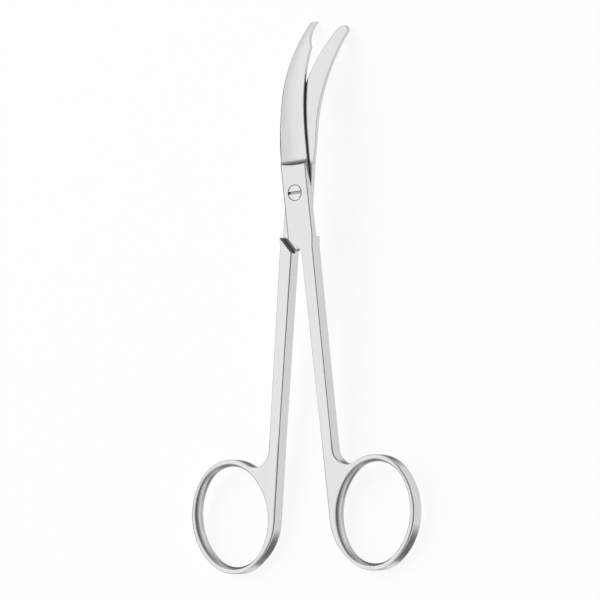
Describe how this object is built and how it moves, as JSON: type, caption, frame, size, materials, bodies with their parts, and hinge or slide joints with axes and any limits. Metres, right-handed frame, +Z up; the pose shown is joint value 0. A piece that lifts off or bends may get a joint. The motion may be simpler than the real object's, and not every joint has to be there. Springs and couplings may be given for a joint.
{
  "type": "suture scissors",
  "caption": "Fine curved scissors with a hooked blade and a blunt blade on a lap joint with a slotted screw, each with its shank and oval finger ring.",
  "frame": {"origin": "centre of the floor rectangle that the scissors cover, on the surface that they lie on", "axes": "+Y runs from the finger rings to the blades, +Z is up and the screw's side, +X is the side of the ring that belongs to the hooked blade"},
  "size_m": [0.058, 0.1214, 0.0127],
  "materials": {
    "satin_steel": "satin polished stainless steel",
    "screw_steel": "turned and polished stainless steel"
  },
  "bodies": {
    "blunt_side": {"blunt_blade_half": "satin_steel", "joint_screw": "screw_steel"},
    "hook_side": {"hook_blade_half": "satin_steel"}
  },
  "joints": [
    {"name": "blade_pivot", "type": "hinge", "parent": "blunt_side", "child": "hook_side", "pos_m": [0, 0.02107, 0.0105], "axis": [0, -0.1052, 0.9945], "range_deg": [-10.95, 49]}
  ]
}
